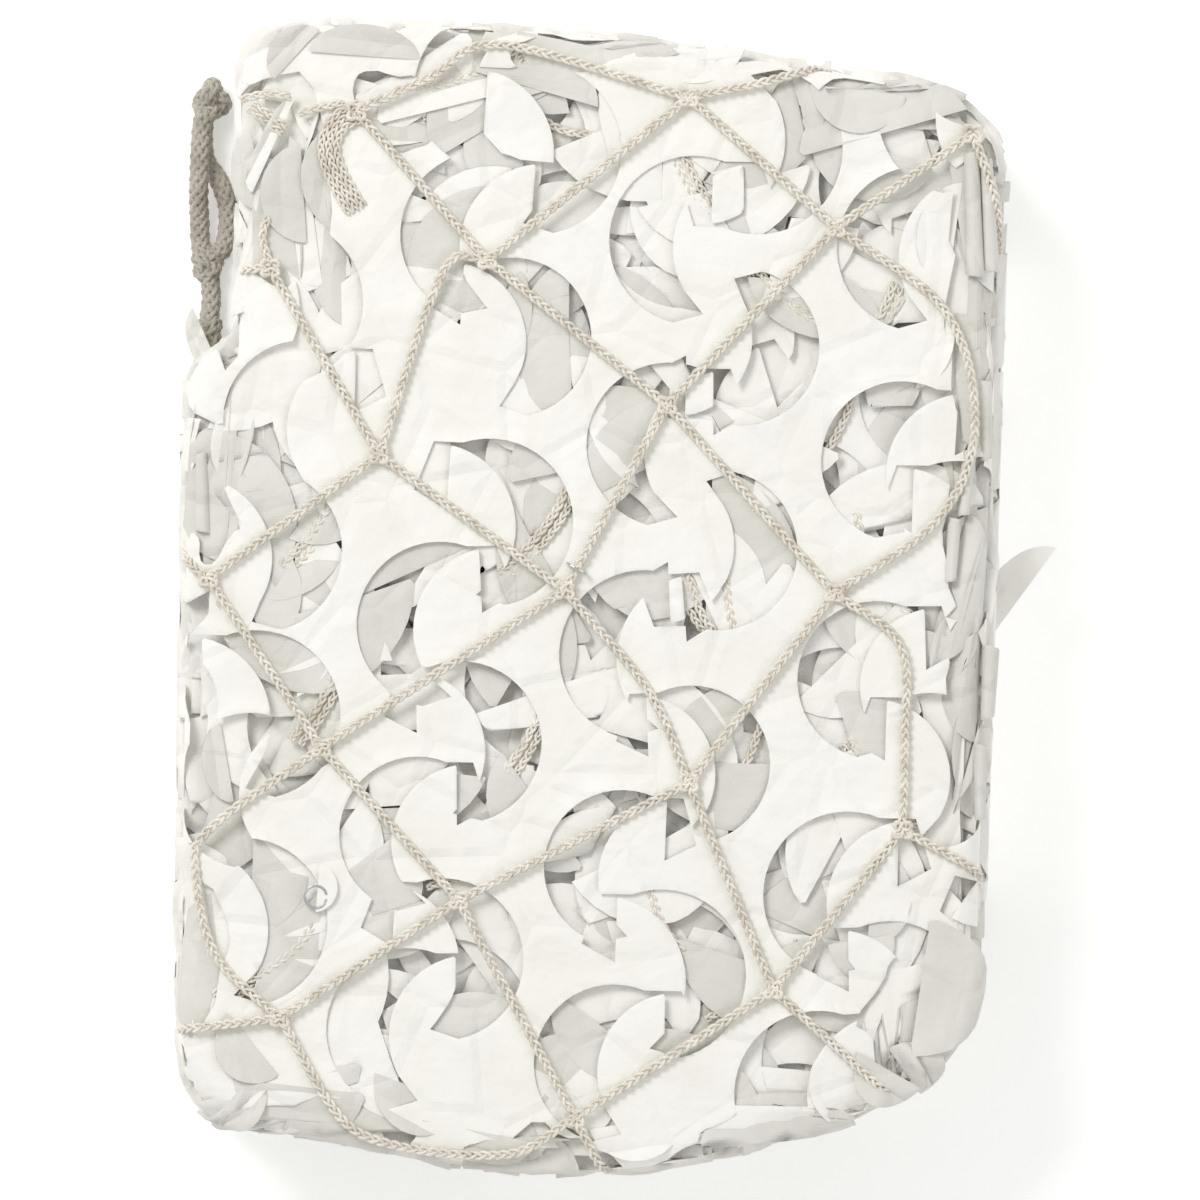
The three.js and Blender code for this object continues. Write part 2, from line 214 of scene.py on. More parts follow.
# Each route is a list of places in millimetres: across from the bundle's left side, along it, and
# up from where the rope would lie on the floor.
main_route = [
    (8.6, 101, 2.6), (8.8, 106, 1.5), (9.4, 111, 1), (9, 116.2, 1.5), (8.2, 123.7, 2.3),
    (5.4, 131, 0.6), (5, 140, 1.6), (4.8, 147, 5), (5, 154, 8), (5.4, 163, 8.8), (6.2, 175.4, 8.4),
    (8, 179, 6.6),
]
second_route = [
    (9.5, 127, 1.2), (13.8, 130, 0.2), (15.4, 138, 0), (15.2, 146, 0), (12, 155, 0), (7, 163, 0),
    (6.4, 175.2, 0), (7.6, 181, 2.4),
]
side_route = [(7.8, 95, 1), (7.2, 90, 0), (5, 78, 0), (4.4, 40, 0), (3.7, 0, 0), (2.9, -60, 0)]

main_path = rope_path(main_route)
second_path = rope_path(second_route)
side_path = rope_path(side_route)

border_rope = yarn_piece("border_rope", braid(main_path, rope_diameter / 2), rope_yarn)
border_rope_other_end = yarn_piece(
    "border_rope_other_end", braid(second_path, rope_diameter / 2), rope_yarn
)
border_rope_along_side = yarn_piece(
    "border_rope_along_side", braid(side_path, rope_diameter / 2), rope_yarn
)


def rope_knot(name, node, strand_share, turn, swell=1.0):
    """An overhand knot pulled hard, as a closed trefoil pressed into the knot's own box. Above 1,
    swell makes it wider than the box, but not higher."""
    low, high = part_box(node)
    centre, half = (low + high) / 2, (high - low) / 2
    t = np.linspace(0, 2 * math.pi, 90)
    loops = np.column_stack([
        np.sin(t) + 2 * np.sin(2 * t),
        np.cos(t) - 2 * np.cos(2 * t),
        -1.6 * np.sin(3 * t),
    ])
    spin = np.array(Matrix.Rotation(turn, 3, "Z") @ Matrix.Rotation(0.5, 3, "X"))
    loops = loops @ spin.T
    strand = strand_share * rope_diameter / 2
    room = np.array(half) * (swell, swell, 1) - strand
    loops = loops / np.abs(loops).max(axis=0) * room + np.array(centre)
    reach = Vector((0, 0.3 * half.y, 0))
    heart = [(np.array([centre - reach, centre + reach]), 0.5 * half.x)]
    return yarn_piece(name, braid(evenly(loops, 0.8 * mm), strand, 5, 18 * mm) + heart, rope_yarn)


edge_knot = rope_knot("rope_knot_at_edge", "rope_edge_knot", 0.86, 0.4)
joining_knot = rope_knot("rope_knot_joining", "rope_joining_knot", 0.86, 2.0)
end_knot = rope_knot("rope_knot_at_end", "rope_end_knot", 0.92, 1.1, 1.12)

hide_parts("border_rope_joint", "border_rope_end")
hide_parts("border_rope_second_end")
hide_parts("border_rope_side")
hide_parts("rope_edge_knot")
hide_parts("rope_joining_knot")
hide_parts("rope_end_knot")
rope_knots = [edge_knot, joining_knot, end_knot]
for piece in (border_rope, border_rope_other_end, border_rope_along_side, *rope_knots):
    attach(piece, "lower_half")

# ---------------------------------------------------------------- floor and light
# A white light table, lit softly all round and a little more from the upper left.

floor_mesh = bpy.data.meshes.new("floor")
shape = bmesh.new()
bmesh.ops.create_grid(shape, x_segments=1, y_segments=1, size=6)
shape.to_mesh(floor_mesh)
shape.free()
floor_finish = bpy.data.materials.new("white_table")
floor_finish.use_nodes = True
floor_shader = floor_finish.node_tree.nodes["Principled BSDF"]
floor_shader.inputs["Base Color"].default_value = linear("F6F6F4")
floor_shader.inputs["Roughness"].default_value = 0.8
floor_shader.inputs["Emission Color"].default_value = linear("FFFFFF")
floor_shader.inputs["Emission Strength"].default_value = 0.3
floor = add_object("floor", floor_mesh, floor_finish)

world = bpy.data.worlds.new("studio")
world.use_nodes = True
world.node_tree.nodes["Background"].inputs["Color"].default_value = linear("FFFFFF")
world.node_tree.nodes["Background"].inputs["Strength"].default_value = 0.62
bpy.context.scene.world = world
bpy.context.scene.view_settings.view_transform = "Standard"


def soft_light(name, place, side, power):
    data = bpy.data.lights.new(name, "AREA")
    data.size = side
    data.energy = power
    lamp = bpy.data.objects.new(name, data)
    lamp.location = place
    lamp.rotation_euler = (-Vector(place)).to_track_quat("-Z", "Y").to_euler()
    bpy.context.scene.collection.objects.link(lamp)


soft_light("key_light", (-1.1, 1.3, 2.1), 0.9, 31)
soft_light("fill_light", (1.6, -0.6, 2.2), 1.6, 8)

# ---------------------------------------------------------------- leaf-cut cloth
# Thin coated cloth, die-cut with rows of S-shaped slits. When the cloth is pulled over the mesh,
# each slit opens into two round gaps, and the cloth beside it makes two leaves.

half_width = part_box("lower_pass_3")[1].x
half_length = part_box("lower_pass_3")[1].y
leaf_radius = 30 * mm
cloth_thickness = 0.4 * mm


def cloth_finish(name, face, tired, weave_depth):
    """PVC-coated polyester: matt white, faintly woven, with soft creases and a slight sheen."""
    material = bpy.data.materials.new(name)
    material.use_nodes = True
    tree = material.node_tree
    shader = tree.nodes["Principled BSDF"]
    place = add_node(tree, "ShaderNodeTexCoord", {}).outputs["Object"]
    patch = add_node(tree, "ShaderNodeTexNoise", {"Vector": place, "Scale": 1 / (30 * mm), "Detail": 4})
    ramp = add_node(tree, "ShaderNodeValToRGB", {"Fac": patch.outputs["Fac"]})
    ramp.color_ramp.elements[0].position = 0.35
    ramp.color_ramp.elements[0].color = linear(tired)
    ramp.color_ramp.elements[1].position = 0.6
    ramp.color_ramp.elements[1].color = linear(face)
    # Threads lie 0.4 mm apart on the real cloth, and 1 mm apart here, so that they show.
    per_thread = 2 * math.pi / 20 / (1 * mm)
    threads = [
        add_node(tree, "ShaderNodeTexWave", {"Vector": place, "Scale": per_thread}, bands_direction=way)
        for way in ("X", "Y")
    ]
    heights = {0: threads[0].outputs["Fac"], 1: threads[1].outputs["Fac"]}
    weave = add_node(tree, "ShaderNodeMath", heights, operation="ADD")
    woven = {"Height": weave.outputs["Value"], "Strength": weave_depth, "Distance": 0.05 * mm}
    bump = add_node(tree, "ShaderNodeBump", woven)
    # Fold lines cross the cloth every 3 cm or so, and shallow dents lie between them.
    cells = {"Vector": place, "Scale": 1 / (30 * mm)}
    fold = add_node(tree, "ShaderNodeTexVoronoi", cells, feature="DISTANCE_TO_EDGE")
    near_fold = {"Value": fold.outputs["Distance"], "From Min": 0, "From Max": 0.11, "To Min": 0, "To Max": 1}
    ridge = add_node(tree, "ShaderNodeMapRange", near_fold)
    sharp = {"Height": ridge.outputs["Result"], "Strength": 0.7, "Distance": 0.8 * mm}
    folded = add_node(tree, "ShaderNodeBump", {**sharp, "Normal": bump.outputs["Normal"]})
    dent = add_node(tree, "ShaderNodeTexNoise", {"Vector": place, "Scale": 1 / (14 * mm), "Detail": 3})
    soft = {"Height": dent.outputs["Fac"], "Strength": 0.7, "Distance": 2.2 * mm}
    dented = add_node(tree, "ShaderNodeBump", {**soft, "Normal": folded.outputs["Normal"]})
    tree.links.new(ramp.outputs["Color"], shader.inputs["Base Color"])
    tree.links.new(dented.outputs["Normal"], shader.inputs["Normal"])
    shader.inputs["Roughness"].default_value = 0.6
    shader.inputs["Sheen Weight"].default_value = 0.1
    return material


cloth_face = cloth_finish("coated_cloth_face", "F7F5EF", "F2F0E9", 0.35)
# The back: the greyer white of the cloth's reverse side, made darker still as painted shade for the leaves
# that lie under the outermost layer.
cloth_back_and_painted_shade = cloth_finish("coated_cloth_back_and_painted_shade", "E1DFD8", "D8D5CD", 0.5)


def corner_curve(before, corner, after, cut, steps=8):
    """The rounding of one corner, as a curve that starts and ends at cut from it."""
    before, corner, after = (np.array(p, float) for p in (before, corner, after))
    start = corner + (before - corner) / np.linalg.norm(before - corner) * cut
    end = corner + (after - corner) / np.linalg.norm(after - corner) * cut
    t = np.linspace(0, 1, steps)[:, None]
    return (1 - t) ** 2 * start + 2 * t * (1 - t) * corner + t**2 * end


def plan(inset):
    """The bundle's plan, drawn in by inset, with its rounded corners."""
    x, y = half_width / mm - inset, half_length / mm - inset
    corners = [
        (-x, 24 - y, 26), (8, -y - 6, 60), (x - 11, 38 - y, 42), (x, y - 27, 34),
        (-20, y, 60), (22 - x, y, 24), (22 - x, 97, 7), (3 - x, 84, 10),
    ]
    curves = [
        corner_curve(corners[i - 1][:2], corners[i][:2], corners[(i + 1) % 8][:2], corners[i][2])
        for i in range(8)
    ]
    return np.vstack(curves) * mm


def to_outline(places, outline):
    """How far each place is outside the outline, and the nearest place on it."""
    edge = np.roll(outline, -1, axis=0) - outline
    from_start = places[:, None] - outline[None]
    share = np.clip((from_start * edge).sum(2) / np.maximum((edge**2).sum(1), 1e-12), 0, 1)
    feet = outline + share[..., None] * edge
    gaps = np.linalg.norm(places[:, None] - feet, axis=2)
    best = gaps.argmin(1)
    row = np.arange(len(places))
    foot, gap, along = feet[row, best], gaps[row, best], edge[best]
    outward = np.column_stack([along[:, 1], -along[:, 0]])
    outside = ((places - foot) * outward).sum(1) > 0
    return np.where(outside, gap, -gap), foot


def over_edge(places, outline, level, roll):
    """Flat places laid at a level and carried down over the outline's edge, bent to a radius."""
    past, foot = to_outline(places, outline)
    outward = (places - foot) / np.where(np.abs(past) < 1e-7, 1, past)[:, None]
    run = past + roll
    angle = np.clip(run / roll, 0, math.pi / 2)
    reach = roll * (np.sin(angle) - 1)
    drop = roll * (1 - np.cos(angle)) + np.maximum(run - roll * math.pi / 2, 0)
    flat = np.where((run <= 0)[:, None], places, foot + outward * reach[:, None])
    return np.column_stack([flat, level - np.where(run <= 0, 0, drop)])


def arc(centre, radius, start, end, steps):
    turn = np.radians(np.linspace(start, end, steps))
    return np.column_stack([centre[0] + radius * np.cos(turn), centre[1] + radius * np.sin(turn)])


def opening(x, y, side=1, tip=1, gap=0.68, turn=0.0, size=1.0):
    """The gap that half a slit leaves. Its round edge is on the left, with the leaf's tip up, for
    side and tip 1, and is mirrored for -1. gap is the leaf's shift from its edge, in radii."""
    outline = np.vstack([
        arc((0, 0), 1, 68, 255, 26),
        [(0.1, -0.87)],
        arc((gap, -0.1), 1, 208, 100 + 5 * (gap - 0.68), 18),
        [(gap - 0.16, 0.86), (gap - 0.16, 0.12), (gap + 0.24, 0.33), (gap + 0.05, 0.92)],
    ])
    outline = outline * (side, tip) * leaf_radius * size
    if side * tip < 0:
        outline = outline[::-1]
    spin = np.array([[math.cos(turn), -math.sin(turn)], [math.sin(turn), math.cos(turn)]])
    return outline @ spin.T + (x, y)


def cut_flat(outline, openings=(), spacing=5 * mm, creases=(), rim=None):
    """Cloth cut flat to an outline, less its openings: its places and its faces. Creases are lines
    that the faces follow. With a rim, the inner places stand wider apart past it."""
    rings = [outline, *openings]
    low, high = outline.min(0), outline.max(0)
    row_share = 0.87  # of the spacing, from row to row, which makes the triangles even
    columns = np.arange(low[0], high[0], spacing)
    rows = np.arange(low[1], high[1], spacing * row_share)
    inner = np.array([
        (x + (spacing / 2 if j % 2 else 0), y)
        for j, y in enumerate(rows)
        for x in columns
    ])
    past, _ = to_outline(inner, outline)
    keep = past < -0.3 * spacing
    if rim:
        coarse = (np.arange(len(inner)) % 3 == 0) & (np.repeat(np.arange(len(rows)), len(columns)) % 3 == 0)
        keep &= (past > -rim) | coarse
    inner = inner[keep]
    ends = np.array([end for line in creases for end in line]).reshape(-1, 2)
    places = np.vstack([*rings, inner, ends])
    starts = np.cumsum([0] + [len(ring) for ring in rings])
    loops = [list(range(a, b)) for a, b in zip(starts, starts[1:])]
    first_end = len(places) - len(ends)
    lines = [(first_end + 2 * i, first_end + 2 * i + 1) for i in range(len(creases))]
    made = geometry.delaunay_2d_cdt([Vector(p) for p in places], lines, loops, 1, 1e-7)
    faces = [face for face, owners in zip(made[2], made[5]) if set(owners) == {0}]
    used = sorted({i for face in faces for i in face})
    renumbered = {old: new for new, old in enumerate(used)}
    flat = np.array([made[0][i] for i in used])
    return flat, [[renumbered[i] for i in face] for face in faces]


def flat_area(flat, faces):
    a, b, c = (flat[np.array(faces)[:, i]] for i in range(3))
    return float(np.abs(np.cross(b - a, c - a)).sum() / 2)


def rippled(flat, size, seed):
    """A smooth random height at each place, from -1 to 1."""
    return np.array([noise.noise(Vector((x / size, y / size, seed))) for x, y in flat])


def creased(flat, size, seed):
    """Sharp random folds: a height from 0 in the folds to 1."""
    return np.abs(rippled(flat, size, seed)) * 1.6


class Cloth:
    """Cloth pieces gathered into one mesh, with the flat area that they were cut from."""

    def __init__(self):
        self.places, self.faces, self.count, self.area = [], [], 0, 0.0

    def add(self, flat, faces, places):
        self.places.append(places)
        self.faces += [[i + self.count for i in face] for face in faces]
        self.count += len(places)
        self.area += flat_area(flat, faces)

    def piece(self, name, material):
        mesh = bpy.data.meshes.new(name)
        mesh.from_pydata(np.vstack(self.places).tolist(), [], self.faces)
        made = add_object(name, mesh, material)
        wall = made.modifiers.new("cloth_thickness", "SOLIDIFY")
        wall.thickness = cloth_thickness
        wall.offset = 0
        made.modifiers.new("crisp_cut_edges", "WEIGHTED_NORMAL").weight = 90
        return made


# The outermost layer. Its gaps are named by the bundle's parts, each with the place of its round
# edge's middle, in millimetres. The cloth wraps down over the bundle's edge.

left_gaps = [
    (37, 130), (118.5, 127), (28, 56), (112, 50), (-55, -9), (19, -20), (103, -29), (-63, -85),
    (11, -97), (92.5, -107), (-66.5, -155.5), (8, -168), (82, -179), (-104.5, 65), (-39, 132),
    (-35, 184.5), (-123.5, -69), (133, 176),
]
right_gaps_tip_down = [(54, 91.5), (45.5, 18), (60, 163)]
right_gaps_tip_up = [
    (-29, 95), (-37, 28), (-47.5, -51.5), (36, -59.5), (-54, -130), (25, -135.5), (-121.5, -41.5),
    (-126, -116.5), (-20, 163), (132, 20), (122, -62), (108, -145), (-112, 108), (-120, 18),
]

side_outline = plan(0)
cloth_wrap = 13  # millimetres of cloth past the plan, which hang down its side
edge_roll = 7 * mm


def wavy_outline(inset, swing, seed):
    """The plan's outline with a torn, irregular edge."""
    outline = plan(inset)
    dense = evenly(np.column_stack([np.vstack([outline, outline[:1]]), np.zeros(len(outline) + 1)]), 6 * mm)
    dense = dense[:-1, :2]
    centre = dense.mean(0)
    outward = (dense - centre) / np.linalg.norm(dense - centre, axis=1)[:, None]
    wave = rippled(dense, 34 * mm, seed) + 0.4 * rippled(dense, 9 * mm, seed + 7)
    return dense + outward * (wave * swing)[:, None]


def leaf_lift(flat, gaps, lift):
    """How far the leaves stand up: each rises from its foot to its tip."""
    height = np.zeros(len(flat))
    for x, y, side, tip in gaps:
        near = (flat - (x, y)) * (side, tip) / leaf_radius
        inside = np.linalg.norm(near, axis=1) < 1.02
        reach = np.clip((near @ np.array([0.25, 0.97]) + 0.25) / 1.15, 0, 1)
        height += np.where(inside, reach**1.3 * lift, 0)
    return height


def edge_openings(outline, seed):
    """Gaps that the die's slits leave along a cut edge."""
    pick = random.Random(seed)
    closed = np.column_stack([np.vstack([outline, outline[:1]]), np.zeros(len(outline) + 1)])
    return [
        opening(x, y, pick.choice([1, -1]), 1, 0.7, pick.uniform(0, 2 * math.pi), pick.uniform(0.5, 0.8))
        for x, y, _ in evenly(closed, 46 * mm)[:-1]
    ]


def worn_place(x, y, half_x, half_y, seed):
    """A place where the outermost layer is folded under, and the next ones come up through it."""
    ring = arc((0, 0), 1, 0, 352, 30) * (half_x * mm, half_y * mm) + (x * mm, y * mm)
    ring[:, 0] += rippled(ring, 16 * mm, seed) * 7 * mm
    ring[:, 1] += rippled(ring, 13 * mm, seed + 4) * 7 * mm
    return ring


# Each has a middle and half its width and length, in millimetres.
worn = [
    (-115, 152, 22, 38), (-72, 178, 16, 13), (142, 112, 13, 56), (137, 20, 9, 34), (137, -34, 9, 24),
    (122, -152, 24, 26), (-96, -192, 34, 12), (-20, -201, 26, 8), (62, -197, 24, 9),
    (-137, 40, 9, 26), (-143, -128, 9, 28), (100, 178, 22, 9), (-10, 198, 22, 8),
]
gaps = [(x * mm, y * mm, 1, 1) for x, y in left_gaps]
gaps += [(x * mm, y * mm, -1, -1) for x, y in right_gaps_tip_down]
gaps += [(x * mm, y * mm, -1, 1) for x, y in right_gaps_tip_up]
draw = random.Random(11)
openings = [
    opening(x, y, side, tip, 0.66 + 0.2 * draw.random(), draw.uniform(-0.08, 0.08), draw.uniform(0.94, 1.03))
    for x, y, side, tip in gaps
]
openings += [worn_place(*place, 12 + i) for i, place in enumerate(worn)]
top_outline = wavy_outline(-cloth_wrap, 7 * mm, 3.1)
openings += edge_openings(top_outline, 8)
flat, faces = cut_flat(top_outline, openings, 4.2 * mm)
places = over_edge(flat, side_outline, sheet_top - 0.6 * mm, edge_roll)
lift = leaf_lift(flat, gaps, 1)
places[:, 2] += rippled(flat, 55 * mm, 1.3) * 1.0 * mm - 0.6 * mm * creased(flat, 60 * mm, 8.2)
places[:, 2] += lift * 2.2 * mm * (0.5 + rippled(flat, 45 * mm, 5.5))
top_cloth = Cloth()
top_cloth.add(flat, faces, places)
top_leaf_cloth = top_cloth.piece("top_leaf_cloth", cloth_face)
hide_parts("top_leaf_sheet")
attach(top_leaf_cloth, "upper_half")

# ---------------------------------------------------------------- layers under the top
# The next layers show through the gaps: more leaf-cut cloth, turned and crumpled, with loose
# leaves folded over on it. Light reaches them only through the gaps, so they look grey, and the
# leaves that show their back also carry painted shade in their colour.

# From one slit to the next along the die's rows, and from row to row.
lattice_row = np.array([79.5, -9]) * mm
lattice_column = np.array([-8.5, -76.5]) * mm


def lattice_gaps(shift, turn, outline, seed):
    """Openings on the die's own lattice, moved and turned, as far as the outline reaches."""
    pick = random.Random(seed)
    spin = np.array([[math.cos(turn), -math.sin(turn)], [math.sin(turn), math.cos(turn)]])
    found = []
    for i in range(-5, 6):
        for j in range(-5, 6):
            # A slit makes two gaps, one in each bow of its S.
            site = (i * lattice_row + j * lattice_column) @ spin.T + shift
            for offset, side in (((0, 0), 1), ((17.4, -38.4), -1)):
                centre = site + np.array(offset) * mm @ spin.T
                past, _ = to_outline(centre[None], outline)
                if past[0] < 20 * mm:
                    ring = opening(*centre, side, pick.choice([1, 1, -1]), pick.uniform(0.6, 0.9), turn)
                    found.append(ring)
    return found


def leaf_sheet(cloth, level, facing, inset, shift, turn, crumple, seed, spacing=5 * mm):
    """One layer of leaf-cut cloth at a level, crumpled away from the side that it faces."""
    outline = wavy_outline(inset, 3 * mm, seed)
    flat, faces = cut_flat(outline, lattice_gaps(np.array(shift) * mm, turn, outline, seed), spacing)
    places = np.column_stack([flat, np.full(len(flat), level)])
    fold = creased(flat, 42 * mm, seed) + 0.5 * creased(flat, 19 * mm, seed + 3)
    places[:, 2] -= facing * crumple * fold
    cloth.add(flat, faces, places)


def leaf_outline(size, width=1.0):
    """A single leaf: a straight edge on the right and a round one on the left."""
    return np.vstack([arc((0.25, 0), 1, 100, 255, 16), [(0.06, -0.93)]]) * (width, 1) * leaf_radius * size


def fold_leaf(flat, folds):
    """A flat leaf folded along lines, each a place, a direction, and an angle."""
    places = np.column_stack([flat, np.zeros(len(flat))])
    for spot, along, angle in folds:
        pivot = np.array([*spot, 0])
        fold = np.array(Matrix.Rotation(angle, 3, Vector((*along, 0))))
        moving = (flat - spot) @ np.array([-along[1], along[0]]) > 1e-6
        places[moving] = (places[moving] - pivot) @ fold.T + pivot
    return places - places.mean(0)


def lay_leaf(cloth, size, width, folds, spin, x, y, low, high, drape):
    """One leaf, folded and turned, pressed between two levels. Past the drape's edge it hangs."""
    shape = leaf_outline(size, width)
    if np.cross(shape[1] - shape[0], shape[2] - shape[1]) < 0:
        shape = shape[::-1]
    middle = shape.mean(0)
    folds = [(middle + spot, along, angle) for spot, along, angle in folds]
    lines = [(spot - along * 0.08, spot + along * 0.08) for spot, along, _ in folds]
    flat, faces = cut_flat(shape, (), 6 * mm, lines)
    places = fold_leaf(flat, folds) @ np.array(spin).T
    span = places[:, 2].max() - places[:, 2].min()
    places[:, 2] *= min(1, (high - low) / max(span, 1e-6))
    places[:, 2] += low - places[:, 2].min()
    places[:, :2] += (x, y)
    if drape is not None:
        height = places[:, 2:]
        places = over_edge(places[:, :2], drape, 0, edge_roll)
        places[:, 2:] += height
        places[:, 2] = np.maximum(places[:, 2], 0.5 * mm)
    cloth.add(flat, faces, places)


def loose_leaves(cloths, count, low, high, seed, outline, margin=12 * mm, drape=None):
    """Leaves that lie at random between two levels, most of them folded once or twice."""
    pick = random.Random(seed)
    tilt = 0.16  # radians that a leaf leans at most
    made = 0
    low_corner, high_corner = outline.min(0), outline.max(0)
    while made < count:
        x = pick.uniform(low_corner[0], high_corner[0])
        y = pick.uniform(low_corner[1], high_corner[1])
        past, _ = to_outline(np.array([[x, y]]), outline)
        if past[0] > -margin:
            continue
        made += 1
        folds = []
        for _ in range(pick.choice([0, 1, 1, 2])):
            way = pick.uniform(0, math.pi)
            along = np.array([math.cos(way), math.sin(way)])
            spot = np.array([pick.uniform(-7, 7), pick.uniform(-9, 9)]) * mm
            folds.append((spot, along, pick.choice([0.3, -0.35, 0.6, 2.8])))
        lean = Matrix.Rotation(pick.uniform(-tilt, tilt), 3, "X")
        lean = lean @ Matrix.Rotation(pick.uniform(-tilt, tilt), 3, "Y")
        spin = lean @ Matrix.Rotation(pick.uniform(0, 2 * math.pi), 3, "Z")
        base = low + pick.random() * 0.6 * (high - low)
        size, width = pick.uniform(0.8, 1.25), pick.uniform(0.75, 1.15)
        lay_leaf(pick.choice(cloths), size, width, folds, spin, x, y, base, high, drape)


def pleated_leaves(cloths, count, x, y, half_x, half_y, seed):
    """Leaves crowded side by side along the bundle's edge, each creased along its length."""
    pick = random.Random(seed)
    upright = half_y > half_x
    for _ in range(count):
        folds = []
        for across in (-5 * mm, 2 * mm):
            way = math.pi / 2 + pick.uniform(-0.15, 0.15)
            along = np.array([math.cos(way), math.sin(way)])
            folds.append((np.array([across, 0]), along, pick.choice([0.9, -0.9, 1.3, -0.5])))
        turn = pick.choice([0, math.pi]) + pick.uniform(-0.3, 0.3) + (0 if upright else math.pi / 2)
        spin = Matrix.Rotation(turn, 3, "Z") @ Matrix.Rotation(pick.uniform(-0.5, 0.5), 3, "Y")
        at = np.array([[x + pick.uniform(-1, 1) * half_x, y + pick.uniform(-1, 1) * half_y]]) * mm
        past, foot = to_outline(at, plan(6))
        if past[0] > 0:
            at = foot
        base = pass_top + pick.uniform(-2, 1) * mm
        cloth, size, width = pick.choice(cloths), pick.uniform(0.7, 1.1), pick.uniform(0.8, 1.3)
        top = sheet_top - pick.uniform(0.5, 2.5) * mm
        # On the right side they hang inside the plan, so that they clear the other half when open.
        drape = plan(pick.uniform(0, 3) if x > 110 else pick.uniform(-6, 0))
        lay_leaf(cloth, size, width, folds, spin, *at[0], base, top, drape)


def rolled_leaf(cloth, start, end, radius, turns):
    """A leaf rolled into a tube between two places, in millimetres, with its open end in shadow."""
    start, end = np.array(start) * mm, np.array(end) * mm
    axis = end - start
    length = np.linalg.norm(axis)
    axis /= length
    side = np.cross(axis, [0, 0, 1])
    side /= np.linalg.norm(side)
    rise = np.cross(side, axis)
    girth = 2 * math.pi * radius * mm * turns * 0.85
    ring = np.array([(0, 0), (1, 0), (0.94, 0.5), (0.8, 1), (0.1, 1)]) * (length, girth)
    closed = np.column_stack([np.vstack([ring, ring[:1]]), np.zeros(6)])
    flat, faces = cut_flat(evenly(closed, 2.4 * mm)[:-1, :2], (), 2.4 * mm)
    turn = flat[:, 1] / girth * turns * 2 * math.pi
    reach = radius * mm * (1 - 0.32 * flat[:, 1] / girth) * (1 - 0.25 * flat[:, 0] / length)
    places = start + flat[:, :1] * axis
    places += (reach * np.cos(turn))[:, None] * side + (reach * np.sin(turn))[:, None] * rise
    cloth.add(flat, faces, places)


pass_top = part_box("upper_pass_4")[1].z
under_cloth = Cloth()
leaf_sheet(under_cloth, pass_top + 0.9 * mm, 1, 7, (48, 60), 0.3, 1.8 * mm, 21)
leaf_sheet(under_cloth, pass_top - 1.2 * mm, 1, 6, (20, 18), -0.45, 2.2 * mm, 22)
leaf_sheet(under_cloth, pass_top - 3.6 * mm, 1, 5, (-15, 40), 0.9, 2.2 * mm, 23)
under_top_cloth = under_cloth.piece("cloth_under_top", cloth_face)
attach(under_top_cloth, "upper_half")

backs_with_painted_shade, fronts = Cloth(), Cloth()
hanging = plan(2)  # a leaf that reaches past this bends down over the edge
loose_leaves([backs_with_painted_shade, fronts], 40, pass_top - 3 * mm, pass_top + 0.4 * mm, 30, plan(4), drape=hanging)
loose_leaves([backs_with_painted_shade, fronts], 85, pass_top + 1 * mm, sheet_top - 1.9 * mm, 31, plan(4), drape=hanging)
for i, (x, y, half_x, half_y) in enumerate(worn):
    count = 2 + round(half_x * half_y / 130)
    pleated_leaves([backs_with_painted_shade, backs_with_painted_shade, backs_with_painted_shade, fronts], count, x, y, half_x, half_y, 300 + i)
# Leaves that turn up along the bundle's edges, and one over a ring clip: a place, a size, a width,
# a turn in degrees, the angle of the fold along it, how far it stays under the outermost layer's
# top, which is negative where it may stand above, and which side shows: the back, whose grey
# carries painted shade, or the white face.
turned_up = [
    (133, -142, 0.86, 1.35, 172, 0.3, -3.4, backs_with_painted_shade), (99, -131, 0.42, 1.5, 100, 0.0, -1.2, backs_with_painted_shade),
    (109, -108, 0.62, 1.0, 176, 0.2, -0.8, backs_with_painted_shade), (-95, -104, 0.3, 1.0, 176, 0.2, -3.2, fronts),
    (86, -176, 0.62, 1.1, 4, 0.25, -0.8, fronts), (104, -177, 0.46, 1.3, 60, 0.4, -4.2, backs_with_painted_shade),
    (121, -168, 0.44, 1.4, 215, -0.3, -1.2, backs_with_painted_shade), (-127, 154, 0.5, 1.0, 12, 0.3, -0.6, backs_with_painted_shade),
    (-113, 146, 0.62, 1.1, 4, 0.5, -1.4, backs_with_painted_shade), (-118, 166, 0.66, 0.5, -24, 1.1, -2.6, fronts),
    (-95, 154, 0.78, 1.1, -4, 0.25, -0.8, backs_with_painted_shade), (-111, 201, 0.42, 1.0, -42, 0.4, -1.8, backs_with_painted_shade),
    (-82, 203, 0.7, 0.7, -94, 0.4, -2.2, backs_with_painted_shade), (-36, 164, 0.7, 1.3, -6, 0.0, 0.4, backs_with_painted_shade),
    (124, 132, 0.66, 0.9, -8, 0.4, -0.8, fronts), (-128, -186, 0.6, 1.1, 130, 0.3, -1.2, backs_with_painted_shade),
    (-64, -186, 0.62, 1.1, 70, 0.3, -0.6, backs_with_painted_shade), (18, -196, 0.6, 1.0, 100, 0.3, -0.6, fronts),
    (-137, -60, 0.5, 0.8, 10, 0.5, 0.4, backs_with_painted_shade), (-134, 58, 0.5, 0.8, -8, 0.6, 0.2, fronts),
    (96, 176, 0.6, 1.1, 84, 0.3, -0.4, backs_with_painted_shade), (40, 194, 0.62, 1.0, 100, 0.3, 0.4, fronts),
    (-128, -166, 0.5, 1.2, 40, 0.4, -1.8, backs_with_painted_shade), (126, 94, 0.6, 0.8, 172, 0.4, -0.6, fronts),
]
